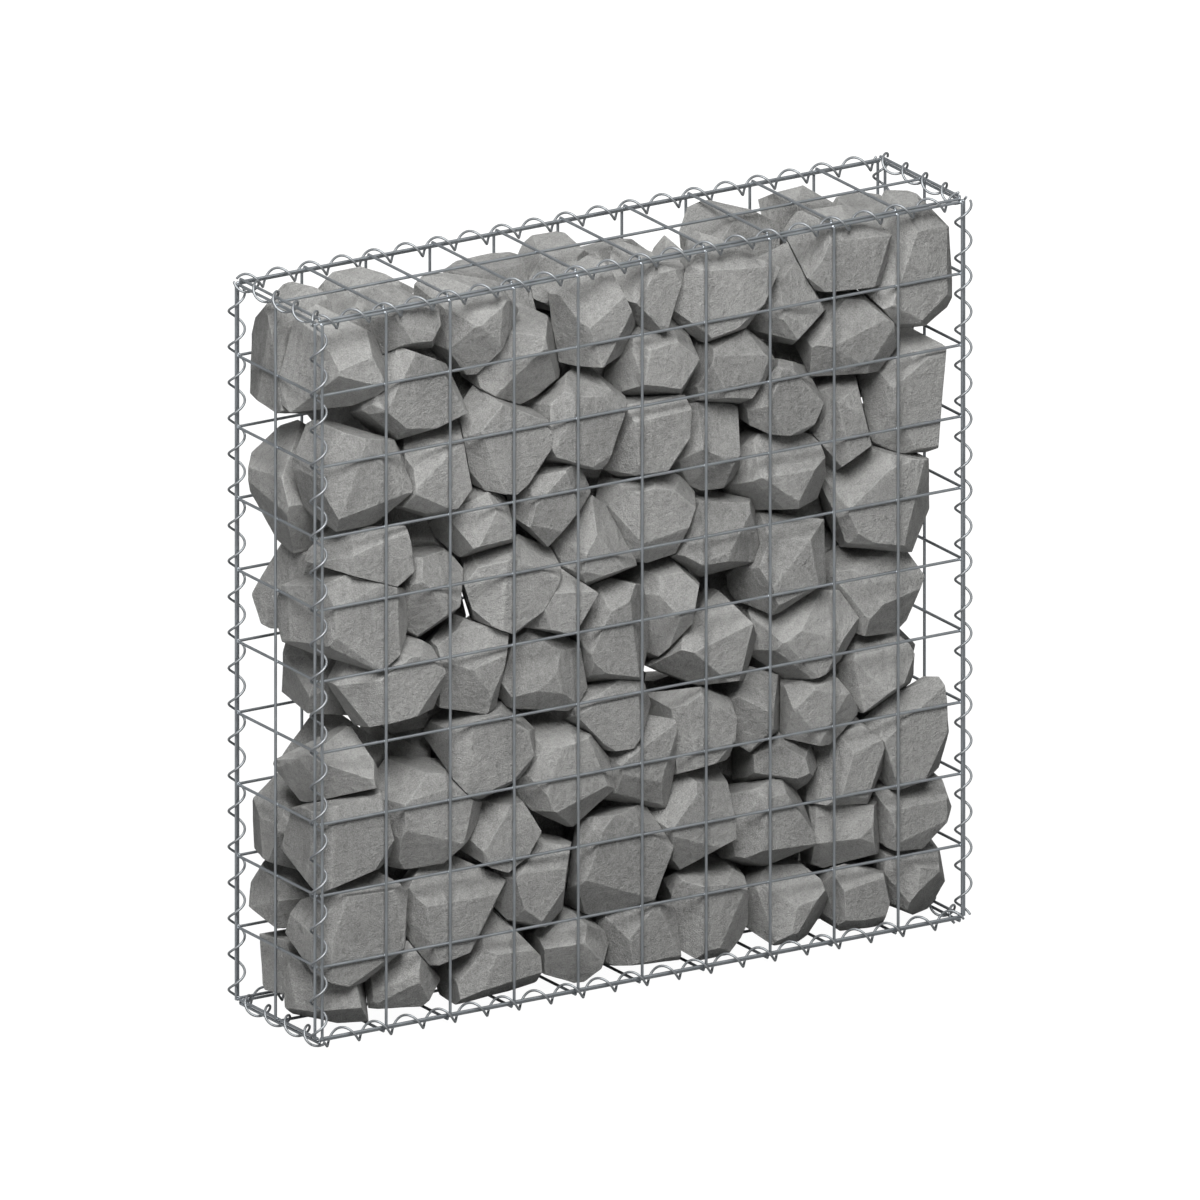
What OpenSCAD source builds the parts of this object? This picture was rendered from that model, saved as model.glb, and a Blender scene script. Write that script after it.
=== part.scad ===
// Gabion wall: a welded wire-mesh basket, laced along its twelve edges with
// spiral binders and packed with two layers of broken stone.
// The wall runs along X with its front towards -Y, and it stands on Z = 0.

/* [Basket] */
// Length of the basket between the mesh lines at its ends
basket_l = 1000; // [600:10:1400]
// Depth of the basket from front to back
basket_d = 200; // [160:10:300]
// Height of the basket
basket_h = 1000; // [600:10:1200]
// Pitch of the square mesh, to the nearest whole bay
mesh = 100; // [80:1:120]

/* [Mesh wire] */
// Thickness of the mesh wires
wire_d = 4; // [3:0.1:5]
// How deep the weld sets one wire into the other where they cross
weld_bite = 0.3; // [0.1:0.05:0.6]
// How far a wire runs on past the middle of the last wire that it crosses
wire_stub = 1; // [0.5:0.1:2]
// Space between the wire ends of one panel and the wires of the next
panel_gap = 0.3; // [0.2:0.05:0.6]

/* [Spiral binders] */
// Thickness of the binder wire
spiral_wire_d = 3; // [2:0.1:4]
// Room between the coils and the two edge wires that they go round
spiral_play = 2.5; // [2:0.1:4]
// Coils in each mesh bay
coils_per_bay = 2; // [2:1:2]
// How far the binders lean so that their coils bear on a wire
spiral_lean = 1.4; // [1:0.1:1.6]

/* [Stones] */
// Space between neighbouring stones
stone_gap = 0.3; // [0.2:0.05:1]
// Space between the stones and the mesh
stone_clear = 0.3; // [0.2:0.05:2]
// Flat faces round the rim of each stone
rim_facets = 5; // [5:1:8]

/* [Hidden] */

// Mesh bays along the wall, from front to back and from bottom to top
basket = [basket_l, basket_d, basket_h];
bays = [for (side = basket) round(side / mesh)];
pitch = [for (c = [0 : 2]) basket[c] / bays[c]];
half_l = basket_l / 2;
half_d = basket_d / 2;

// Mesh wires are bars of eight sides, with flats where they are welded
wire_r = wire_d / 2;
wire_sides = 8;
flat_turn = 180 / wire_sides;
weld_step = wire_d - weld_bite;
// Outer wires of a panel stand this far outside the edge wires of its neighbour
panel_step = wire_stub + weld_step + wire_r + panel_gap;
inner_step = panel_step - weld_step;

// Binder coils
spiral_r = spiral_wire_d / 2;
coil_r = panel_step / sqrt(2) + wire_r + spiral_play + spiral_r;
coil_steps = 8;
coil_sides = 5;

// Middle of the pair of wires that meet on each kind of edge, out from the mesh lines
edge_upright = panel_step / 2;
edge_level = inner_step / 2;
// The binders on the short lid edges sit a little higher, on the lid's own end wires
edge_lid_end = panel_step / 2;

// The four base binders lie level and carry the basket, so the mesh starts this high
base_z = edge_level + coil_r + spiral_r;
lid_z = base_z + basket_h;

wire_colour = [0.44, 0.46, 0.48];
stone_colour = [0.58, 0.57, 0.55];

// One straight wire along +Z
module bar(length) {
  rotate([0, 0, flat_turn])
    cylinder(r = wire_r / cos(flat_turn), h = length, $fn = wire_sides);
}

// Flat welded mesh: uprights along +Z at depth 0, level wires behind them at +Y,
// with the bays across and up counted along two of the basket's axes
module mesh_panel(across, up) {
  width = basket[across];
  height = basket[up];
  for (i = [0 : bays[across]])
    translate([i * pitch[across] - width / 2, 0, -wire_stub]) bar(height + 2 * wire_stub);
  for (k = [0 : bays[up]])
    translate([-width / 2 - wire_stub, weld_step, k * pitch[up]])
      rotate([0, 90, 0]) bar(width + 2 * wire_stub);
}

module side_panel() {
  mesh_panel(0, 2);
}

module end_panel() {
  mesh_panel(1, 2);
}

// Lid and base: short wires across the outside, long wires inside them
module flat_panel() {
  rotate([-90, 0, 0]) translate([0, 0, -half_d]) mesh_panel(0, 1);
}

module front_panel() {
  color(wire_colour) translate([0, -half_d - panel_step, base_z]) side_panel();
}

module back_panel() {
  color(wire_colour) translate([0, half_d + panel_step, base_z]) rotate(180) side_panel();
}

module left_end_panel() {
  color(wire_colour) translate([-half_l - panel_step, 0, base_z]) rotate(-90) end_panel();
}

module right_end_panel() {
  color(wire_colour) translate([half_l + panel_step, 0, base_z]) rotate(90) end_panel();
}

module lid_panel() {
  color(wire_colour) translate([0, 0, lid_z + panel_step]) flat_panel();
}

module base_panel() {
  color(wire_colour) translate([0, 0, base_z - panel_step]) rotate([180, 0, 0]) flat_panel();
}

// Ring of the binder wire at step k of a right-handed coil that rises along +Z
function coil_ring(k, angle, rise) =
  let (
    out = [cos(angle), sin(angle), 0],
    along = [-coil_r * sin(angle), coil_r * cos(angle), rise * coil_steps / (2 * PI)],
    side = cross(along / norm(along), out)
  )
  [for (j = [0 : coil_sides - 1])
    let (turn = 360 * j / coil_sides)
    coil_r * out + [0, 0, k * rise] + spiral_r * (cos(turn) * out + sin(turn) * side)];

// Coil along +Z over all bays of one of the basket's axes, with its wire at angle
// line_angle where it passes the mesh lines
module coil(axis, line_angle) {
  rise = pitch[axis] / (coils_per_bay * coil_steps);
  rings = bays[axis] * coils_per_bay * coil_steps + 1;
  points = [for (k = [0 : rings - 1]) each coil_ring(k, line_angle + 360 * k / coil_steps, rise)];
  walls = [for (k = [0 : rings - 2], j = [0 : coil_sides - 1])
    let (
      a = k * coil_sides + j,
      b = k * coil_sides + (j + 1) % coil_sides
    )
    each [[a, a + coil_sides, b + coil_sides], [a, b + coil_sides, b]]];
  first_cap = [for (j = [0 : coil_sides - 1]) j];
  last_cap = [for (j = [0 : coil_sides - 1]) rings * coil_sides - 1 - j];
  polyhedron(points, concat(walls, [first_cap, last_cap]), convexity = 20);
}

// Turns +Z to +X, or twice over to +Y
module to_x() {
  rotate([90, 0, 90]) children();
}

module to_y() {
  to_x() to_x() children();
}

// Binder up a corner: side_x and side_y are -1 or 1
module upright_spiral(side_x, side_y, line_angle, lean) {
  color(wire_colour)
    translate([
      side_x * (half_l + edge_upright + lean / sqrt(2)),
      side_y * (half_d + edge_upright - lean / sqrt(2)),
      base_z
    ])
      coil(2, line_angle);
}

// Binder along a long edge: side_y and side_z are -1 or 1
module long_spiral(side_y, side_z, line_angle, lean_y, lean_z) {
  mesh_z = side_z > 0 ? lid_z : base_z;
  color(wire_colour)
    translate([
      -half_l,
      side_y * (half_d + edge_level - lean_y),
      mesh_z + side_z * (edge_level - lean_z)
    ])
      to_x() coil(0, line_angle);
}

// Binder along a short edge: side_x and side_z are -1 or 1
module short_spiral(side_x, side_z, line_angle, lean) {
  axis_z = side_z > 0 ? lid_z + edge_lid_end : base_z - edge_level;
  color(wire_colour)
    translate([side_x * (half_l + edge_level - lean), -half_d, axis_z])
      to_y() coil(1, line_angle);
}

module front_left_spiral() {
  upright_spiral(-1, -1, 128, 0);
}

module front_right_spiral() {
  upright_spiral(1, -1, 0, spiral_lean);
}

module back_left_spiral() {
  upright_spiral(-1, 1, 58, spiral_lean);
}

module back_right_spiral() {
  upright_spiral(1, 1, 308, 0);
}

module lid_front_spiral() {
  long_spiral(-1, 1, 78, 0, 0);
}

module lid_back_spiral() {
  long_spiral(1, 1, 15, spiral_lean, 0);
}

module base_front_spiral() {
  long_spiral(-1, -1, 180, spiral_lean, 0);
}

module base_back_spiral() {
  long_spiral(1, -1, 158, spiral_lean, 0);
}

module lid_left_spiral() {
  short_spiral(-1, 1, 281, 1.2 * spiral_lean);
}

module lid_right_spiral() {
  short_spiral(1, 1, 82, spiral_lean);
}

module base_left_spiral() {
  short_spiral(-1, -1, 135, spiral_lean);
}

module base_right_spiral() {
  short_spiral(1, -1, 225, spiral_lean);
}

// The front layer of stones, seen from the front on a face of ten by ten bays:
// middle across, middle up, width and height of each stone, in bays
plan_bays = 10;
front_plan = [
  [0.67, 9.25, 1.1, 1.1], [1.58, 9.6, 0.9, 0.7], [2.75, 9.4, 1.3, 0.95], [1.62, 8.65, 1.3, 1.2],
  [3.4, 8.8, 1.4, 1.25], [4.58, 9.15, 1.2, 1.35], [5.4, 9.45, 0.85, 0.95], [6.4, 9.25, 1.4, 1.2],
  [7.55, 8.9, 1.1, 1.15], [8.36, 9.45, 1.3, 1.1], [9.4, 9.1, 1.1, 1.8], [8.45, 8.25, 1.45, 1.1],
  [5.5, 8.45, 1.1, 1.15], [6.6, 8.1, 1.15, 1.25],
  [0.75, 7.6, 1.4, 1.4], [2.05, 7.45, 1.15, 1.2], [3.05, 7.75, 1.2, 1.25], [4.25, 7.75, 1.3, 1.3],
  [5.3, 7.45, 1, 1.2], [6.3, 7.1, 1.2, 1.3], [7.45, 7.55, 1.05, 1], [8.4, 7.1, 0.9, 1.25],
  [9.4, 7.25, 1.2, 1.7], [7.45, 6.55, 1.5, 1.15],
  [1.02, 6.5, 1.3, 0.8], [2.75, 6.65, 1, 0.95], [3.77, 6.8, 1.05, 1], [5.4, 6.3, 1.5, 1.15],
  [0.75, 5.75, 1.5, 1.35], [1.95, 5.8, 1.15, 1.2], [3.2, 5.7, 1.35, 1.4], [4.4, 5.95, 0.95, 1.25],
  [3.9, 5.3, 0.9, 0.75], [6.5, 5.8, 1.35, 1.05], [7.5, 5.3, 1.2, 1.3], [8.9, 5.95, 1.6, 1.6],
  [1.3, 4.65, 1.5, 1.2], [2.6, 4.65, 1.25, 1.35], [3.7, 4.4, 1.45, 1.05], [4.8, 4.7, 1.05, 1.8],
  [5.7, 4.95, 0.95, 1.45], [6.4, 4.25, 1.3, 1.15], [7.8, 4.25, 1.5, 1.2], [8.9, 4.6, 1.5, 1.1],
  [0.64, 3.5, 1.1, 0.8], [2.8, 3.5, 1.5, 1.2], [3.95, 3, 1.3, 1.25], [4.65, 3.7, 1.2, 0.7],
  [5.2, 2.9, 1.2, 1.25], [6.1, 3.15, 1.15, 1.25], [7.1, 3.25, 1.1, 1.05], [7.9, 3.2, 0.95, 0.95],
  [8.95, 3.4, 1.15, 1], [0.55, 2.6, 1.4, 1.3], [1.95, 2.8, 1.6, 1.2], [3, 2.3, 0.95, 0.95],
  [8.45, 2.2, 1.15, 1.5], [9.3, 2.5, 1.2, 1.3], [7.5, 2.45, 1, 0.8],
  [0.8, 1.35, 1.5, 1.35], [2.2, 1.25, 1.5, 1.3], [3.55, 1.5, 1.4, 1.35], [4.85, 1.55, 1.5, 1.5],
  [6, 1.95, 1.25, 1.4], [7.2, 1.65, 1.3, 1.25], [8.4, 1.4, 1.45, 1.2], [9.4, 1.5, 1.2, 0.9],
  [0.55, 0.45, 1.1, 0.9], [1.55, 0.5, 1.15, 0.9], [2.9, 0.5, 1.45, 1.05], [4.15, 0.45, 1, 0.9],
  [5.2, 0.45, 1.4, 0.9], [6.3, 0.65, 1.4, 1.15], [7.55, 0.55, 1.2, 1.05], [8.55, 0.45, 1, 0.9],
  [9.45, 0.6, 1.1, 1]
];
stone_seed = 11;

// A stone is its middle and its half sizes
function front_stone(plan, depth_noise) =
  let (
    unit_x = basket_l / plan_bays,
    unit_z = basket_h / plan_bays,
    half_y = half_d / 2
  )
  [
    [plan[0] * unit_x - half_l, -half_y * (1 + 0.6 * (depth_noise - 0.5)), base_z + plan[1] * unit_z],
    [plan[2] * unit_x / 2, half_y, plan[3] * unit_z / 2]
  ];
function turned_stone(stone) = [[-stone[0].x, -stone[0].y, stone[0].z], stone[1]];

depth_noises = rands(0, 1, len(front_plan), stone_seed);
front_layer = [for (i = [0 : len(front_plan) - 1]) front_stone(front_plan[i], depth_noises[i])];
back_layer = [for (stone = front_layer) turned_stone(stone)];
stones = concat(front_layer, back_layer);

// Distance from a stone's middle to its side in the unit direction n: the stone is
// squarer than an egg, for which the power would be 2, and rounder than a box, with 1
squareness = 1.5;
function reach(stone, n) =
  let (terms = [for (c = [0 : 2]) pow(abs(n[c] * stone[1][c]), squareness)])
  pow(terms[0] + terms[1] + terms[2], 1 / squareness);

// Space inside the mesh: lowest and highest corners
inside = inner_step - wire_r - stone_clear;
room = [
  [-half_l - inside, -half_d - inside, base_z - inside],
  [half_l + inside, half_d + inside, lid_z + inside]
];

// Faces broken on a stone, in groups: how many, how far they lean from the stone's outer
// side, how far that lean and their turn round the stone are shaken, and the least share
// of the stone's reach at which they lie. Broad faces meet on the outer side, a rim goes
// round them with one small bevel between, and two more close the inner side.
face_groups = [
  [3, 42, 36, 0.5, 0.8],
  [rim_facets, 90, 36, 0.7, 0.8],
  [1, 62, 14, 1, 0.86],
  [2, 150, 20, 0.5, 0.86]
];
share_spread = 0.16;
function broken_faces(stone, seed) =
  [for (g = [0 : len(face_groups) - 1])
    let (
      group = face_groups[g],
      first_turn = rands(0, 360, 1, 100 * seed + 10 * g)[0]
    )
    for (k = [1 : group[0]])
      let (
        noise = rands(-0.5, 0.5, 3, 100 * seed + 10 * g + k),
        lean = group[1] + group[2] * noise[0],
        turn = first_turn + 360 / group[0] * (k + group[3] * noise[1]),
        share = group[4] + share_spread * (noise[2] + 0.5),
        n = [sin(lean) * cos(turn), sign(stone[0].y) * cos(lean), sin(lean) * sin(turn)]
      )
      [n, share * reach(stone, n)]];

// Face shared by two neighbours: one slanting plane between each pair
stone_spill = 1.4;
face_slant = [0.2, 0.6, 0.2];
function shared_face(i, j) =
  let (
    first = stones[min(i, j)],
    second = stones[max(i, j)],
    way = second[0] - first[0],
    noise = rands(-1, 1, 3, stone_seed + 1000 * min(i, j) + max(i, j)),
    slant = [for (c = [0 : 2]) face_slant[c] * noise[c]],
    leaning = way / norm(way) + slant,
    n = leaning / norm(leaning),
    seam = first[0] + way * reach(first, n) / (reach(first, n) + reach(second, n)),
    side = i < j ? 1 : -1
  )
  [side * n, side * n * (seam - stones[i][0]) - stone_gap / 2];
function shared_faces(i) =
  [for (j = [0 : len(stones) - 1])
    let (
      way = stones[j][0] - stones[i][0],
      n = way / max(norm(way), 1)
    )
    if (i != j && norm(way) < stone_spill * (reach(stones[i], n) + reach(stones[j], n)))
      shared_face(i, j)];

// Faces that keep a stone clear of the binders along the twelve edges
edge_sides = [for (a = [-1, 1], b = [-1, 1]) each [[a, b, 0], [a, 0, b], [0, a, b]]];
edge_clear = coil_r + spiral_r + stone_clear;
function edge_faces(stone) =
  [for (side = edge_sides)
    let (
      n = side / norm(side),
      edge = [side.x * half_l, side.y * half_d, side.z > 0 ? lid_z : base_z],
      distance = n * (edge - stone[0]) - edge_clear
    )
    if (distance < stone_spill * reach(stone, n)) [n, distance]];

// Everything on the near side of a plane at a distance along the unit normal n
module behind_plane(face, size) {
  n = face[0];
  rotate([0, acos(n.z), atan2(n.y, n.x)])
    translate([-size, -size, face[1] - 2 * size]) cube(2 * size);
}

module stone(i) {
  middle = stones[i][0];
  half = stone_spill * stones[i][1];
  low = [for (c = [0 : 2]) max(room[0][c], middle[c] - half[c])];
  high = [for (c = [0 : 2]) min(room[1][c], middle[c] + half[c])];
  intersection() {
    translate(low) cube(high - low);
    translate(middle)
      intersection_for (face = concat(
        broken_faces(stones[i], stone_seed + i + 1),
        shared_faces(i),
        edge_faces(stones[i])
      ))
        behind_plane(face, 2 * norm(half));
  }
}

courses = 10;
module stone_course(course) {
  height = basket_h / courses;
  color(stone_colour)
    for (i = [0 : len(stones) - 1])
      if (floor((stones[i][0].z - base_z) / height) == course - 1) stone(i);
}

front_panel();
back_panel();
left_end_panel();
right_end_panel();
lid_panel();
base_panel();
front_left_spiral();
front_right_spiral();
back_left_spiral();
back_right_spiral();
lid_front_spiral();
lid_back_spiral();
lid_left_spiral();
lid_right_spiral();
base_front_spiral();
base_back_spiral();
base_left_spiral();
base_right_spiral();
for (k = [1 : courses])
  stone_course(k);
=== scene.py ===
# %% [markdown]
# # Dressing a gabion wall
# A gabion is a basket of welded wire mesh, laced along its twelve edges with spiral binders and
# packed with broken stone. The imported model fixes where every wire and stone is, so this script
# keeps that frame and makes what the eye checks: round zinc-coated wire, springy binders and
# rough grey stone. Lengths are in metres, the front looks along -Y, and the basket stands on Z = 0.

import math

import bpy
import numpy as np
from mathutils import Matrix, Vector


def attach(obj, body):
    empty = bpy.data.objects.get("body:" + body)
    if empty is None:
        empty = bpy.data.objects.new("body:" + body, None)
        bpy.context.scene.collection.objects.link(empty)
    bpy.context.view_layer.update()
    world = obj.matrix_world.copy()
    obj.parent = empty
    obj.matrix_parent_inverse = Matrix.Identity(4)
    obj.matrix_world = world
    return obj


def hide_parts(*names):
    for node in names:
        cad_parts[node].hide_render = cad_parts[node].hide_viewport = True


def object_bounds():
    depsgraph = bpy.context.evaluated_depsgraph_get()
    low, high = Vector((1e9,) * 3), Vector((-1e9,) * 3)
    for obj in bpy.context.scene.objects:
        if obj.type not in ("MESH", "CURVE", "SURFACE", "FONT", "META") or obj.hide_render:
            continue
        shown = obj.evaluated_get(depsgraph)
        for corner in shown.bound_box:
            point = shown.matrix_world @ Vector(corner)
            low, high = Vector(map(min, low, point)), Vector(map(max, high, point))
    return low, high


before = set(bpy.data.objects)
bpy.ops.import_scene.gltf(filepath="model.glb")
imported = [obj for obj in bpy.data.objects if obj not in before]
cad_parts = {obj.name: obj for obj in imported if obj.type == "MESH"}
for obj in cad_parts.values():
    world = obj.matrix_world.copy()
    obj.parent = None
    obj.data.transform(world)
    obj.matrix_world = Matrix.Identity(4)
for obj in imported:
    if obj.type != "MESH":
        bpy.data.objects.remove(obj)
cad_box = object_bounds()
scene = bpy.context.scene
scene.view_settings.view_transform = "Standard"
rounded_box = [tuple(round(x, 4) for x in corner) for corner in cad_box]
print("nodes:", len(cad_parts), "box:", rounded_box)

# %% [markdown]
# ## The camera
# In the picture the far edges of the basket stay parallel to the near ones, so it is a parallel
# view, as in a catalogue drawing. An orthographic camera gives that. Its two angles and its width
# were found from the mesh lines: ten bays along, two deep and ten high fix all three.

# %% Camera
AIM = Vector((0.0, 0.0, 0.514))
VIEW_TURN = math.radians(-31.63)
VIEW_RISE = math.radians(18.12)
VIEW_WIDTH = 1.5966
CAMERA_AWAY = 6.0

towards_camera = Vector((
    math.sin(VIEW_TURN) * math.cos(VIEW_RISE),
    -math.cos(VIEW_TURN) * math.cos(VIEW_RISE),
    math.sin(VIEW_RISE),
))
camera_data = bpy.data.cameras.new("camera")
camera_data.type = "ORTHO"
camera_data.ortho_scale = VIEW_WIDTH
camera = bpy.data.objects.new("camera", camera_data)
camera.location = AIM + CAMERA_AWAY * towards_camera
camera.rotation_euler = towards_camera.to_track_quat("Z", "Y").to_euler()
scene.collection.objects.link(camera)
scene.camera = camera
print("camera at", tuple(round(x, 3) for x in camera.location))

# %% [markdown]
# ## Materials as expressions
# A material is a graph of nodes, and its maths reads better as Python. `Value` wraps an output
# socket and overloads the operators, so that `0.5 + 0.6 * mottle` adds two Math nodes by itself.
# Every other node comes from the one method `Tree.node`, which takes the node's type, its settings
# and the values or links of its sockets.

# %% Node helpers
class Value:
    """An output socket that takes part in arithmetic: each operator adds a Math node."""

    def __init__(self, tree, socket):
        self.tree = tree
        self.socket = socket

    def math(self, operation, first, second):
        return self.tree.node("Math", {"operation": operation}, {0: first, 1: second})

    def __add__(self, other):
        return self.math("ADD", self, other)

    def __sub__(self, other):
        return self.math("SUBTRACT", self, other)

    def __mul__(self, other):
        return self.math("MULTIPLY", self, other)

    __radd__ = __add__
    __rmul__ = __mul__


class Tree:
    """A node tree with one method that adds any node."""

    def __init__(self, owner):
        owner.use_nodes = True
        self.nodes = owner.node_tree.nodes
        self.links = owner.node_tree.links
        self.nodes.clear()

    def node(self, kind, settings=None, inputs=None, output=0):
        made = self.nodes.new("ShaderNode" + kind)
        for name, setting in (settings or {}).items():
            setattr(made, name, setting)
        for name, value in (inputs or {}).items():
            if isinstance(value, Value):
                self.links.new(value.socket, made.inputs[name])
            else:
                made.inputs[name].default_value = value
        return Value(self, made.outputs[output]) if len(made.outputs) else None

    def noise(self, place, scale, detail, rough=0.5):
        """Smooth noise from 0 to 1 with about scale lumps to the metre, each broken up detail times."""
        settings = {"noise_dimensions": "3D"}
        inputs = {"Vector": place, "Scale": scale, "Detail": detail, "Roughness": rough}
        return self.node("TexNoise", settings, inputs)

    def colours(self, share, first, second):
        """Colour that goes from first to second as share goes from 0 to 1."""
        settings = {"data_type": "RGBA", "clamp_factor": True}
        return self.node("Mix", settings, {0: share, 6: (*first, 1), 7: (*second, 1)}, output=2)

    def place(self):
        """Object coordinates in metres, the same for every piece because all sit at the origin."""
        return self.node("TexCoord", output=3)


print("node helpers ready")

# %% [markdown]
# ## Light and ground
# The wall is shown on plain white under soft light with no hard shadow: even the mesh throws none
# on the stones. A pale sky lights it from all round, which leaves the gaps dark, and three broad
# lamps add the direction: the main one stands high in front on the left, a weak one lifts the left
# end, and one behind the wall, which the metal does not mirror, keeps the back from going dark.
# Rays from the camera see pure white instead of the sky, and mirror rays from the metal see a mid
# grey, so that round wire gets dark sides and one bright line where it mirrors the main lamp. The
# floor is white to the camera in part, so that it still takes the soft shadow under the basket.

# %% Studio
SKY_LEVEL = 0.09
MIRRORED_SKY = 0.45
FLOOR_PALE = (0.3, 0.3, 0.3)
FLOOR_WHITE_SHARE = 0.75
FLOOR_WHITE = 1.3
FLOOR_REACH = 9.0
FLOOR_DROP = 0.0003


def camera_ray(tree):
    """1 on rays that come straight from the camera, otherwise 0."""
    return tree.node("LightPath")


def mirror_ray(tree):
    """1 on rays that come off shiny surfaces, otherwise 0."""
    return tree.node("LightPath", output=3)


def lamp(name, place, size, watts, tint):
    """A square soft box that faces the middle of the wall."""
    data = bpy.data.lights.new(name, "AREA")
    data.size = size
    data.energy = watts
    data.color = tint
    made = bpy.data.objects.new(name, data)
    made.location = place
    made.rotation_euler = (Vector(place) - AIM).to_track_quat("Z", "Y").to_euler()
    scene.collection.objects.link(made)
    return made


world = bpy.data.worlds.new("studio")
scene.world = world
sky = Tree(world)
sky_light = sky.node("Background", {}, {"Color": (1, 1, 1, 1), "Strength": SKY_LEVEL})
sky_mirrored = sky.node("Background", {}, {"Color": (1, 1, 1, 1), "Strength": MIRRORED_SKY})
sky_white = sky.node("Background", {}, {"Color": (1, 1, 1, 1), "Strength": 1.0})
sky_unseen = sky.node("MixShader", {}, {0: mirror_ray(sky), 1: sky_light, 2: sky_mirrored})
sky_mixed = sky.node("MixShader", {}, {0: camera_ray(sky), 1: sky_unseen, 2: sky_white})
sky.node("OutputWorld", {}, {"Surface": sky_mixed})

lamp("main_lamp", (-2.1, -3.3, 4.9), size=2.8, watts=495, tint=(1.0, 1.0, 0.99))
lamp("side_lamp", (-5.5, -1.2, 1.4), size=3.0, watts=30, tint=(0.98, 0.99, 1.0))
back_lamp = lamp("back_lamp", (2.4, 4.8, 2.6), size=3.4, watts=400, tint=(1.0, 1.0, 0.99))
back_lamp.visible_glossy = False

floor_mesh = bpy.data.meshes.new("floor")
signs = ((-1, -1), (1, -1), (1, 1), (-1, 1))
corners = [(sx * FLOOR_REACH, sy * FLOOR_REACH, -FLOOR_DROP) for sx, sy in signs]
floor_mesh.from_pydata(corners, [], [(0, 1, 2, 3)])
floor = bpy.data.objects.new("floor", floor_mesh)
scene.collection.objects.link(floor)

floor_finish = bpy.data.materials.new("pale_floor")
ground = Tree(floor_finish)
matt = ground.node("BsdfDiffuse", {}, {"Color": (*FLOOR_PALE, 1)})
white = ground.node("Emission", {}, {"Color": (1, 1, 1, 1), "Strength": FLOOR_WHITE})
white_share = camera_ray(ground) * FLOOR_WHITE_SHARE
floor_mixed = ground.node("MixShader", {}, {0: white_share, 1: matt, 2: white})
ground.node("OutputMaterial", {}, {"Surface": floor_mixed})
floor_mesh.materials.append(floor_finish)
print("studio: sky, 3 lamps and a floor")

# %% [markdown]
# ## Finish of the mesh wire
# The mesh is drawn steel wire with a coat of zinc. New zinc is a soft bluish grey that dulls in
# patches, so the wire mirrors a little everywhere and nowhere sharply. Colour and roughness follow
# two noises in object space: clouds a few centimetres long, and fine grain from the dip.

# %% Zinc finishes
ZINC_CLOUDS = 38
ZINC_GRAIN = 900


def zinc_finish(name, dull, bright, roughness, spread):
    """Metal between a dull and a bright tone, rougher by up to half the spread where clouds are thick."""
    finish = bpy.data.materials.new(name)
    tree = Tree(finish)
    place = tree.place()
    clouds = tree.noise(place, ZINC_CLOUDS, detail=3)
    grain = tree.noise(place, ZINC_GRAIN, detail=4, rough=0.6)
    share = clouds * 0.9 + grain * 0.7 - 0.3
    colour = tree.colours(share, dull, bright)
    rough = roughness + spread * (clouds - 0.5) + 0.12 * (grain - 0.5)
    bump = tree.node("Bump", {}, {"Strength": 0.25, "Distance": 0.0002, "Height": grain})
    look = {"Base Color": colour, "Metallic": 1.0, "Roughness": rough, "Normal": bump}
    metal = tree.node("BsdfPrincipled", {}, look)
    tree.node("OutputMaterial", {}, {"Surface": metal})
    return finish


mesh_zinc = zinc_finish(
    "mesh_zinc", dull=(0.28, 0.30, 0.32), bright=(0.46, 0.49, 0.52), roughness=0.46, spread=0.16
)
binder_zinc = zinc_finish(
    "binder_zinc", dull=(0.23, 0.243, 0.256), bright=(0.40, 0.417, 0.434), roughness=0.58, spread=0.12
)
print("finishes:", mesh_zinc.name, binder_zinc.name)

# %% [markdown]
# ## Round wire
# Every wire of the basket is one profile, a circle, carried along a path. The CAD bars have eight
# flat sides, which is enough for weight and contact, but a lens sees corners. Here each ring has
# twelve points and the cut ends get a small bevel. All the wires of a panel are worked out at once.

# %% Carry a circle along paths
MILLI = 0.001
RIDE_ON = "root"
WIRE_SIDES = 12


def tube_points(path, across, up, radius, sides):
    """Skin of round wires: path[i] + radius[i] * (cos t * across[i] + sin t * up[i]) on ring i,
    with t going once round in equal steps. The arrays are wires x rings x 3, radius wires x rings."""
    turn = np.linspace(0, 2 * np.pi, sides, endpoint=False)
    circle = np.cos(turn)[:, None] * across[..., None, :] + np.sin(turn)[:, None] * up[..., None, :]
    return path[..., None, :] + radius[..., None, None] * circle


def tube_faces(wires, rings, sides):
    """Four-sided faces between neighbouring rings, and one flat cap on each end, for every wire."""
    ring = np.arange(rings - 1)[:, None] * sides
    side = np.arange(sides)[None, :]
    after = (side + 1) % sides
    walls = np.stack([ring + side, ring + after, ring + sides + after, ring + sides + side], -1)
    first_cap = np.arange(sides)[::-1]
    last_cap = (rings - 1) * sides + np.arange(sides)
    start = np.arange(wires)[:, None, None] * rings * sides
    walls = (start + walls.reshape(1, -1, 4)).reshape(-1, 4)
    caps = (start + np.stack([first_cap, last_cap])[None]).reshape(-1, sides)
    return walls.tolist() + caps.tolist()


def put_piece(name, points, faces, finish, node, sharp_deg):
    """A mesh piece that stands for a CAD node: smooth, with edges kept sharp above an angle."""
    mesh = bpy.data.meshes.new(name)
    mesh.from_pydata(points.reshape(-1, 3), [], faces)
    mesh.polygons.foreach_set("use_smooth", np.ones(len(mesh.polygons), bool))
    mesh.set_sharp_from_angle(angle=math.radians(sharp_deg))
    mesh.materials.append(finish)
    piece = bpy.data.objects.new(name, mesh)
    scene.collection.objects.link(piece)
    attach(piece, RIDE_ON)
    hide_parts(node)
    return piece


print("wire helpers ready")

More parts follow.
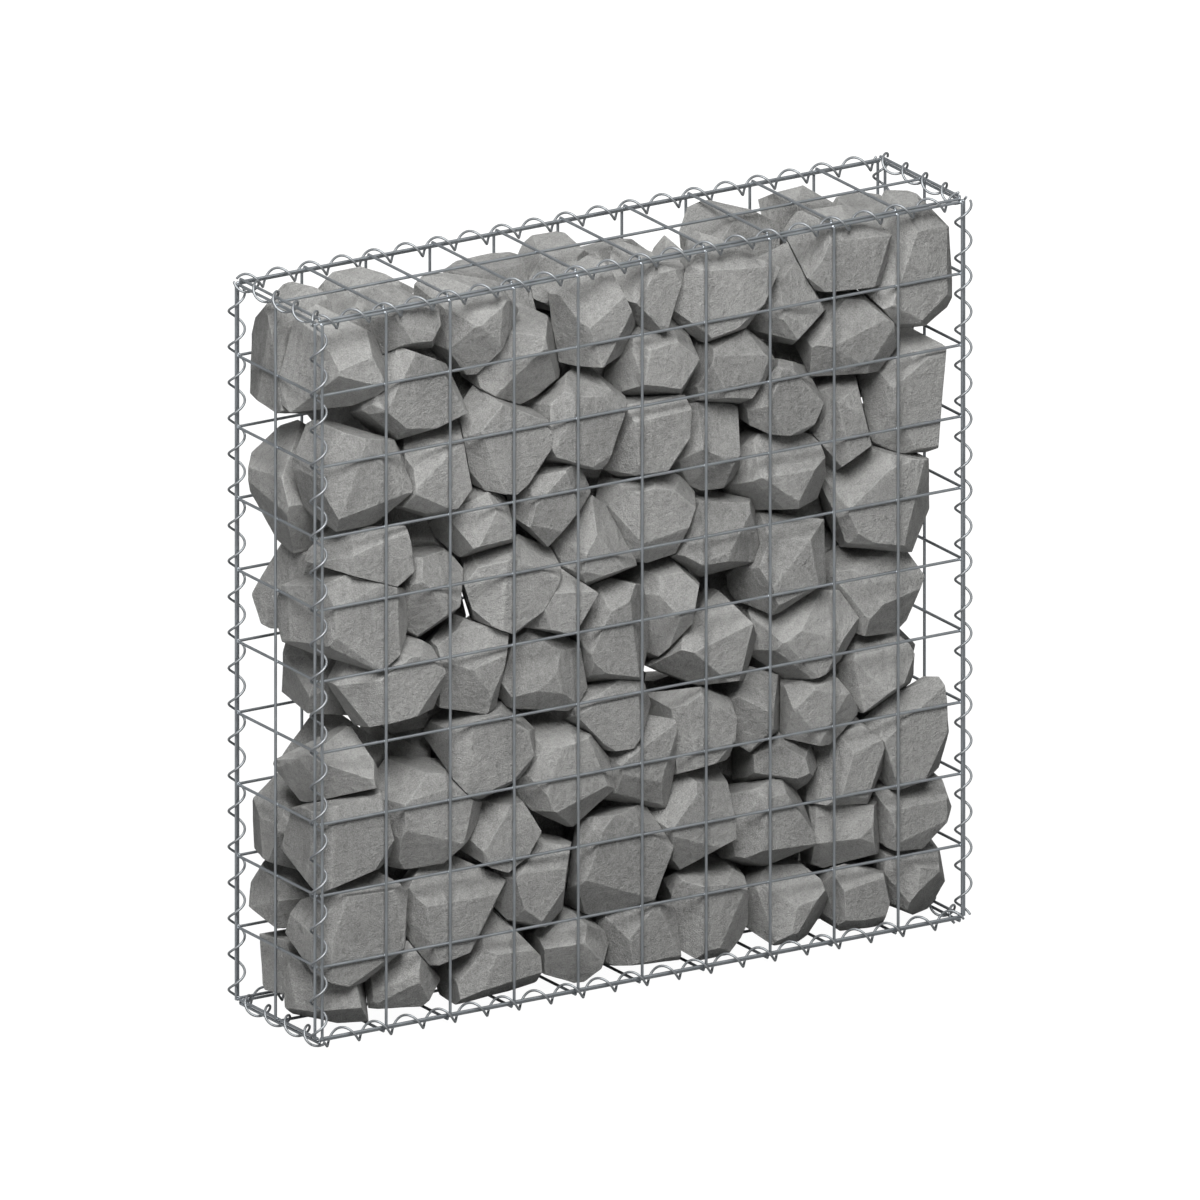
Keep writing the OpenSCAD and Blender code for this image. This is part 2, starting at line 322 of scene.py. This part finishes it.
# %% [markdown]
# ## Six mesh panels
# A panel is a grid of straight wires, welded where they cross: the uprights lie outside and the
# level wires behind them, pressed a little into each other. A flat lens of squeezed-out zinc and
# steel sits in each crossing. A wire is a straight path with six rings: the outer two at each end
# make the bevel, and the third keeps the bevel's slant out of the shading of the long sides. The
# lens is the same tube with a round profile along its short axis.

# %% Mesh panels
BASKET = np.array([1.0, 0.2, 1.0])
BAYS = np.array([10, 2, 10])
WIRE_RADIUS = 2.0 * MILLI
WELD_STEP = 3.7 * MILLI
WIRE_STUB = 1.0 * MILLI
PANEL_STEP = 7.0 * MILLI
BASE_Z = 14.1 * MILLI
CUT_BEVEL = 0.5 * MILLI
CUT_SHARE = 0.78
WIRE_CREASE = 50
WELD_LENS = 2.5 * MILLI
WELD_THICK = 1.5 * MILLI
LENS_TURNS = (-75, -45, 0, 45, 75)


def straight_wires(starts, way, length):
    """Paths and radii of equal parallel wires: start + way * s, thinner over the bevel at both ends."""
    s = np.array([0, CUT_BEVEL, 2 * CUT_BEVEL, length - 2 * CUT_BEVEL, length - CUT_BEVEL, length])
    path = starts[:, None, :] + s[None, :, None] * way
    shape = np.array([CUT_SHARE, 1, 1, 1, 1, CUT_SHARE]) * WIRE_RADIUS
    return path, np.broadcast_to(shape, path.shape[:2])


def weld_lenses(middles, inward):
    """Paths and radii of flat lenses: an ellipse turned round the direction through the panel."""
    share = np.sin(np.radians(LENS_TURNS))
    path = middles[:, None, :] + (share * WELD_THICK)[None, :, None] * inward
    shape = np.sqrt(1 - share ** 2) * WELD_LENS
    return path, np.broadcast_to(shape, path.shape[:2])


def panel(name, node, corner, u_axis, v_axis, inward):
    """A welded panel: wires along v on the outside at every mesh line of u, and the reverse inside."""
    size_u, size_v = BASKET[u_axis], BASKET[v_axis]
    way_u, way_v = np.eye(3)[u_axis], np.eye(3)[v_axis]
    lines_u = np.linspace(0, size_u, BAYS[u_axis] + 1)
    lines_v = np.linspace(0, size_v, BAYS[v_axis] + 1)
    uprights = corner + lines_u[:, None] * way_u - WIRE_STUB * way_v
    levels = corner + lines_v[:, None] * way_v - WIRE_STUB * way_u + WELD_STEP * inward
    crossings = corner + lines_u[:, None, None] * way_u + lines_v[None, :, None] * way_v
    crossings = crossings.reshape(-1, 3) + 0.5 * WELD_STEP * inward
    points, faces, count = [], [], 0
    for way, (path, radius) in (
        (way_v, straight_wires(uprights, way_v, size_v + 2 * WIRE_STUB)),
        (way_u, straight_wires(levels, way_u, size_u + 2 * WIRE_STUB)),
        (inward, weld_lenses(crossings, inward)),
    ):
        across = np.roll(np.abs(way), 1)
        up = np.cross(way, across)
        skin = tube_points(path, across + 0 * path, up + 0 * path, radius, WIRE_SIDES)
        made = tube_faces(len(path), path.shape[1], WIRE_SIDES)
        faces += [[count + corner_index for corner_index in face] for face in made]
        points.append(skin.reshape(-1, 3))
        count += len(points[-1])
    return put_piece(name, np.concatenate(points), faces, mesh_zinc, node, WIRE_CREASE)


half_l, half_d, height = BASKET[0] / 2, BASKET[1] / 2, BASKET[2]
low, high = BASE_Z, BASE_Z + height
X, Y, Z = np.eye(3)
panels = [
    panel("front_mesh", "front_panel", np.array([-half_l, -half_d - PANEL_STEP, low]), 0, 2, Y),
    panel("back_mesh", "back_panel", np.array([-half_l, half_d + PANEL_STEP, low]), 0, 2, -Y),
    panel("left_end_mesh", "left_end_panel", np.array([-half_l - PANEL_STEP, -half_d, low]), 1, 2, X),
    panel("right_end_mesh", "right_end_panel", np.array([half_l + PANEL_STEP, -half_d, low]), 1, 2, -X),
    panel("lid_mesh", "lid_panel", np.array([-half_l, -half_d, high + PANEL_STEP]), 0, 1, -Z),
    panel("base_mesh", "base_panel", np.array([-half_l, -half_d, low - PANEL_STEP]), 0, 1, Z),
]
print("panels:", [(piece.name, len(piece.data.polygons)) for piece in panels])

# %% [markdown]
# ## Twelve spiral binders
# A binder is a long open spring that is screwed along an edge, round the last wire of both panels.
# Its path is a helix, two coils to a bay. The rings stand square to the path: the first axis points
# out from the middle of the coil and the second is square to it and to the wire. The places, leans
# and starting angles are those of the CAD coils, which sit so that no coil runs into a mesh wire.
# The wire is drawn a little thicker than in the CAD model, inside the same outer size, because a
# thin bright wire loses its edges against white.

# %% Spiral binders
BINDER_RADIUS = 1.7 * MILLI
COIL_RADIUS = PANEL_STEP / math.sqrt(2) + 7.5 * MILLI - BINDER_RADIUS
COILS_PER_BAY = 2
RINGS_PER_COIL = 28
BINDER_SIDES = 12
BINDER_CUT_SHARE = 0.75
EDGE_UPRIGHT = 3.5 * MILLI
EDGE_LEVEL = 1.65 * MILLI
LEAN = 1.4 * MILLI


def binder(name, axis, middle, line_angle):
    """A helix along one axis: middle + R * (cos a, sin a) across it and s along it, where a grows
    by a whole turn for each coil. The wire gets thinner in a short bevel at its two cut ends."""
    coils = BAYS[axis] * COILS_PER_BAY
    pitch = BASKET[axis] / coils
    turns = np.linspace(0, coils, RINGS_PER_COIL * coils + 1)
    nip = CUT_BEVEL / math.hypot(2 * np.pi * COIL_RADIUS, pitch)
    turns = np.concatenate([turns[:1], turns[:1] + nip, turns[1:-1], turns[-1:] - nip, turns[-1:]])
    angle = math.radians(line_angle) + 2 * np.pi * turns
    along_axis, first, second = np.eye(3)[[axis, (axis + 1) % 3, (axis + 2) % 3]]
    out = np.cos(angle)[:, None] * first + np.sin(angle)[:, None] * second
    round_way = np.cos(angle)[:, None] * second - np.sin(angle)[:, None] * first
    path = middle + COIL_RADIUS * out + (pitch * turns)[:, None] * along_axis
    way = 2 * np.pi * COIL_RADIUS * round_way + pitch * along_axis
    way /= np.linalg.norm(way, axis=1, keepdims=True)
    radius = np.full(len(turns), BINDER_RADIUS)
    radius[[0, -1]] *= BINDER_CUT_SHARE
    skin = tube_points(path[None], out[None], np.cross(way, out)[None], radius[None], BINDER_SIDES)
    faces = tube_faces(1, len(turns), BINDER_SIDES)
    node = name.replace("binder", "spiral")
    return put_piece(name, skin, faces, binder_zinc, node, WIRE_CREASE)


def upright_binder(name, side_x, side_y, line_angle, lean):
    """A binder on an upright edge; the lean shifts it outwards along x and inwards along y."""
    shift = lean / math.sqrt(2)
    middle = [side_x * (half_l + EDGE_UPRIGHT + shift), side_y * (half_d + EDGE_UPRIGHT - shift), low]
    return binder(name, 2, np.array(middle), line_angle)


def long_binder(name, side_y, side_z, line_angle, lean):
    """A binder on a long edge of the lid or base; the lean shifts it inwards."""
    level = high + EDGE_LEVEL if side_z > 0 else low - EDGE_LEVEL
    middle = [-half_l, side_y * (half_d + EDGE_LEVEL - lean), level]
    return binder(name, 0, np.array(middle), line_angle)


def short_binder(name, side_x, side_z, line_angle, lean):
    """A binder on a short edge of the lid or base; the lean shifts it inwards."""
    level = high + EDGE_UPRIGHT if side_z > 0 else low - EDGE_LEVEL
    middle = [side_x * (half_l + EDGE_LEVEL - lean), -half_d, level]
    return binder(name, 1, np.array(middle), line_angle)


# Name, sides of the basket that the edge is on, starting angle in degrees, and lean.
binders = [
    upright_binder("front_left_binder", -1, -1, 128, 0),
    upright_binder("front_right_binder", 1, -1, 0, LEAN),
    upright_binder("back_left_binder", -1, 1, 58, LEAN),
    upright_binder("back_right_binder", 1, 1, 308, 0),
    long_binder("lid_front_binder", -1, 1, 78, 0),
    long_binder("lid_back_binder", 1, 1, 15, LEAN),
    long_binder("base_front_binder", -1, -1, 180, LEAN),
    long_binder("base_back_binder", 1, -1, 158, LEAN),
    short_binder("lid_left_binder", -1, 1, 281, 1.2 * LEAN),
    short_binder("lid_right_binder", 1, 1, 82, LEAN),
    short_binder("base_left_binder", -1, -1, 135, LEAN),
    short_binder("base_right_binder", 1, -1, 225, LEAN),
]
print("binders:", [(piece.name, len(piece.data.polygons)) for piece in binders])

# %% [markdown]
# ## Finish of the broken stone
# The stone is a dense neutral grey with a little warmth. Close to, it is a mottle of grains, with
# larger pale and dark clouds, and fracture lines drawn out in one direction. Each stone and each
# of its faces has its own tone, kept as a number on the faces, and a number on the points marks the
# edges, which are painted paler: partly bruising from handling, partly a painted highlight where
# light catches the edges. Bump gives the grain, and the mesh itself gives everything larger.

# %% Stone finish
STONE_DARK = (0.155, 0.155, 0.152)
STONE_LIGHT = (0.445, 0.443, 0.435)
STREAK_TURN = (0.5, 0.35, 0.2)
STREAK_SCALE = (150, 150, 26)
GRAIN_DEPTH = 6 * MILLI

stone_finish = bpy.data.materials.new("broken_stone")
stone_tree = Tree(stone_finish)
spot = stone_tree.place()
clouds = stone_tree.noise(spot, scale=16, detail=4, rough=0.55)
mottle = stone_tree.noise(spot, scale=110, detail=4, rough=0.6)
grains = stone_tree.noise(spot, scale=520, detail=4, rough=0.65)
drawing = {"Vector": spot, "Rotation": STREAK_TURN, "Scale": STREAK_SCALE}
drawn_out = stone_tree.node("Mapping", {}, drawing)
streaks = stone_tree.noise(drawn_out, scale=1.0, detail=5, rough=0.6)
own_tone = stone_tree.node("Attribute", {"attribute_name": "own_tone"}, output=2)
bruised_and_lit_edge = stone_tree.node("Attribute", {"attribute_name": "bruised_and_lit_edge"}, output=2)
# Painted highlight: the edges are made paler, partly as bruising and partly standing in for light
# catching them.
bruise_and_highlight = bruised_and_lit_edge * (0.35 + 0.9 * (mottle - 0.35))
shade = 0.5 + 0.55 * (clouds - 0.5) + 0.6 * (mottle - 0.5)
shade = shade + 1.5 * (grains - 0.5) + 0.4 * (streaks - 0.5)
stone_share = shade + own_tone + 0.3 * bruise_and_highlight
stone_colour = stone_tree.colours(stone_share, STONE_DARK, STONE_LIGHT)
relief = 0.6 * mottle + 0.4 * grains + 0.2 * streaks
stone_bump = stone_tree.node("Bump", {}, {"Strength": 1.0, "Distance": GRAIN_DEPTH, "Height": relief})
stone_rough = 0.86 + 0.12 * (mottle - 0.5)
stone_look = {
    "Base Color": stone_colour,
    "Roughness": stone_rough,
    "Specular IOR Level": 0.3,
    "Normal": stone_bump,
}
stone_surface = stone_tree.node("BsdfPrincipled", {}, stone_look)
stone_tree.node("OutputMaterial", {}, {"Surface": stone_surface})
print("finish:", stone_finish.name)

# %% [markdown]
# ## Flat faces of a CAD stone
# Each course of stones is one CAD node, and its mesh is only read here. In that mesh the flat faces
# come apart: a corner is there once for every face that meets in it. So triangles that share points
# make up one face, and once equal points are merged, triangles that share points make up one stone.
# The rim of a face is made of the triangle sides that no other triangle of that face runs along.

# %% Read the stones
SHORTEST_EDGE = 0.4 * MILLI


def joined_up(sets, count):
    """Label of every point: the lowest number among all the points that the sets join it to."""
    label = np.arange(count)
    while True:
        lower = label.copy()
        np.minimum.at(lower, sets.ravel(), np.repeat(label[sets].min(axis=1), sets.shape[1]))
        if (lower == label).all():
            return label
        label = lower


def numbered(labels):
    """The same labels, numbered from 0 without gaps."""
    return np.unique(labels, return_inverse=True)[1].reshape(-1)


def means(values, groups):
    """Mean of the rows of values in each group."""
    total = np.zeros((groups.max() + 1, values.shape[1]))
    np.add.at(total, groups, values)
    return total / np.bincount(groups)[:, None]


def read_stones(node):
    """Corners, the face and the stone of each corner, face directions, and rim edges as pairs of
    corners. Edges too short to see are closed up, and so are the faces that this leaves with none."""
    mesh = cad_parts[node].data
    mesh.calc_loop_triangles()
    place = np.empty(3 * len(mesh.vertices))
    mesh.vertices.foreach_get("co", place)
    place = place.reshape(-1, 3)
    triangles = np.empty(3 * len(mesh.loop_triangles), np.int32)
    mesh.loop_triangles.foreach_get("vertices", triangles)
    triangles = triangles.reshape(-1, 3).astype(int)
    face = numbered(joined_up(triangles, len(place)))
    spots, spot = np.unique(place.round(6), axis=0, return_inverse=True)
    spot = spot.reshape(-1)
    stone = numbered(joined_up(spot[triangles], len(spots))[spot])
    first, second, third = (place[triangles[:, k]] for k in range(3))
    way = means(np.cross(second - first, third - first), face[triangles[:, 0]])
    way /= np.linalg.norm(way, axis=1, keepdims=True)
    start, end = triangles.ravel(), np.roll(triangles, -1, axis=1).ravel()
    rim = np.stack([start, end], 1)[~np.isin(start * len(place) + end, end * len(place) + start)]
    short = np.linalg.norm(place[rim[:, 0]] - place[rim[:, 1]], axis=1) < SHORTEST_EDGE
    spot = joined_up(spot[rim[short]], len(spots))[spot]
    rim = rim[spot[rim[:, 0]] != spot[rim[:, 1]]]
    sides = np.bincount(face[rim[:, 0]], minlength=len(way))
    return spots[spot], face, stone, way, rim[sides[face[rim[:, 0]]] > 2]


COURSES = 10
courses = {k: read_stones(f"stone_course_{k}") for k in range(1, COURSES + 1)}
print("stones in each course:", [stones[2].max() + 1 for stones in courses.values()])

# %% [markdown]
# ## Break the stones
# A flat face is filled from its middle c outwards. Over each rim edge from a to b lies a fan of points
# c + t * (a + s * (b - a) - c), where t goes from the middle to the rim and s along the edge. The rows
# crowd together at the rim and long edges get more steps. Fans that meet share their outer points, so
# merging equal points closes the stone.
#
# One formula then wears the edges. If m is the middle of the stone and face k is where
# n_k . (p - m) = d_k, the height h_k = n_k . (p - m) / d_k is 1 on that face and less everywhere else on
# the stone. Dividing p - m by (sum of h_k^P)^(1/P) leaves the faces as they are and pulls in the points
# where two or three faces meet. A sum of plane waves gives gentle hollows and uneven edges on top.

# %% Stone surfaces
# Places of the rows of a fan, as shares of the way from the middle of a face to its rim.
ROWS = np.array([0, 0.32, 0.6, 0.82, 0.93, 0.975, 1])
STEP_LENGTH = 8 * MILLI
MOST_STEPS = 12
EDGE_POWER = 220
# Width of the pale edges, painted as bruising and as a highlight.
PALE_RIM_POWER = 80
# Size and depth of each kind of hollow.
HOLLOWS = ((0.06, 0.8 * MILLI), (0.024, 0.35 * MILLI), (0.012, 0.2 * MILLI))
WAVES = 20
WAVE_RATE = 3.6
NO_CREASE = 180
STONE_TONES = 0.11
FACE_TONES = 0.07


def fans(a, b, c, steps):
    """Points c + t * (a + s * (b - a) - c), as fans x rows x steps x 3, and the cells between them."""
    s = 0.5 - 0.5 * np.cos(np.linspace(0, np.pi, steps + 1))
    edge = a[:, None] + s[:, None] * (b - a)[:, None]
    points = c[:, None, None] + ROWS[:, None, None] * (edge - c[:, None])[:, None]
    index = np.arange(points[..., 0].size).reshape(points.shape[:3])
    cells = [index[:, :-1, :-1], index[:, 1:, :-1], index[:, 1:, 1:], index[:, :-1, 1:]]
    return points, np.stack(cells, -1)


def fill_faces(place, face, rim):
    """All fans of a course: points, the flat face each belongs to, triangles at the middles of the
    faces and four-sided cells round them."""
    face_middle = means(place[rim[:, 0]], face[rim[:, 0]])
    length = np.linalg.norm(place[rim[:, 0]] - place[rim[:, 1]], axis=1)
    steps = np.clip(np.ceil(length / STEP_LENGTH), 1, MOST_STEPS).astype(int)
    points, owners, middles, cells, count = [], [], [], [], 0
    for number in np.unique(steps):
        a, b = rim[steps == number].T
        made, quads = fans(place[a], place[b], face_middle[face[a]], number)
        points.append(made.reshape(-1, 3))
        owners.append(np.repeat(face[a], made[0, ..., 0].size))
        middles.append(count + quads[:, 0, :, :3].reshape(-1, 3))
        cells.append(count + quads[:, 1:].reshape(-1, 4))
        count += len(points[-1])
    return [np.concatenate(lists) for lists in (points, owners, middles, cells)]


def unit(vectors):
    """Rows of vectors, each divided by its length."""
    return vectors / np.linalg.norm(vectors, axis=1, keepdims=True)


def hollows(points):
    """Depth of the hollows and its slope: for each size the mean of sines along random directions,
    about one wave to that size, so the slope is the mean of the cosines times those directions."""
    depth, slope = np.zeros(len(points)), np.zeros(points.shape)
    for size, deep in HOLLOWS:
        draw = np.random.default_rng(round(size / MILLI))
        ways = WAVE_RATE / size * draw.normal(size=(WAVES, 3))
        phase = points @ ways.T + draw.uniform(0, 2 * np.pi, WAVES)
        scale = 0.5 * deep / math.sqrt(2 * WAVES)
        depth += np.maximum(0.5 * deep + scale * np.sin(phase).sum(axis=1), 0)
        slope += scale * np.cos(phase) @ ways
    return depth, slope


def wear(points, middle, ways, aways):
    """m + (p - m) / (sum of h_k^P)^(1/P), less the hollows; the direction it faces there, which is the
    slope of that sum tilted by the slope of the hollows; and how close to an edge, from 0 to 1."""
    out = points - middle
    pull = ways / aways[:, None]
    heights = np.maximum(out @ pull.T, 0)
    crowd = (heights ** EDGE_POWER).sum(axis=1)
    depth, slope = hollows(points)
    facing = unit(heights ** (EDGE_POWER - 1) @ pull)
    slope -= (slope * facing).sum(axis=1, keepdims=True) * facing
    worn = out / (crowd ** (1 / EDGE_POWER))[:, None]
    # How near an edge; the finish paints this paler, as bruising and as a painted highlight.
    near_edge = np.log2((heights ** PALE_RIM_POWER).sum(axis=1))
    return middle + worn - depth[:, None] * unit(worn), unit(facing + slope), np.clip(near_edge, 0, 1)


def stone_piece(course, place, face, stone, way, rim):
    """One course of stones as a mesh piece, with a tone for each face and a number for its edges, which
    the finish paints paler as bruising and as a painted highlight.
    """
    points, owner, middles, cells = fill_faces(place, face, rim)
    polygon_face = np.concatenate([owner[middles[:, 0]], owner[cells[:, 0]]])
    points, kept, merged = np.unique(points.round(6), axis=0, return_index=True, return_inverse=True)
    merged = merged.reshape(-1)
    corner_of_face = np.unique(face, return_index=True)[1]
    stone_of_face = stone[corner_of_face]
    stone_of_point = stone_of_face[owner[kept]]
    stone_middle = means(place, stone)
    facing, worn = np.empty(points.shape), np.empty(len(points))
    for s, middle in enumerate(stone_middle):
        of_stone = np.flatnonzero(stone_of_face == s)
        aways = ((place[corner_of_face[of_stone]] - middle) * way[of_stone]).sum(axis=1)
        mine = stone_of_point == s
        points[mine], facing[mine], worn[mine] = wear(points[mine], middle, way[of_stone], aways)
    polygons = merged[middles].tolist() + merged[cells].tolist()
    name = f"stones_{course}"
    node = f"stone_course_{course}"
    piece = put_piece(name, points, polygons, stone_finish, node, NO_CREASE)
    piece.data.normals_split_custom_set_from_vertices(facing)
    draw = np.random.default_rng(course)
    stone_tone = draw.uniform(-STONE_TONES, STONE_TONES, len(stone_middle))
    face_tone = stone_tone[stone_of_face] + draw.uniform(-FACE_TONES, FACE_TONES, len(way))
    tones = piece.data.attributes.new("own_tone", "FLOAT", "FACE")
    tones.data.foreach_set("value", face_tone[polygon_face].astype(np.float32))
    # Nearness to an edge, which the finish paints paler: bruising and a painted highlight.
    edges = piece.data.attributes.new("bruised_and_lit_edge", "FLOAT", "POINT")
    edges.data.foreach_set("value", worn.astype(np.float32))
    return piece


stone_pieces = [stone_piece(course, *stones) for course, stones in courses.items()]
print("stone faces in each course:", [len(piece.data.polygons) for piece in stone_pieces])
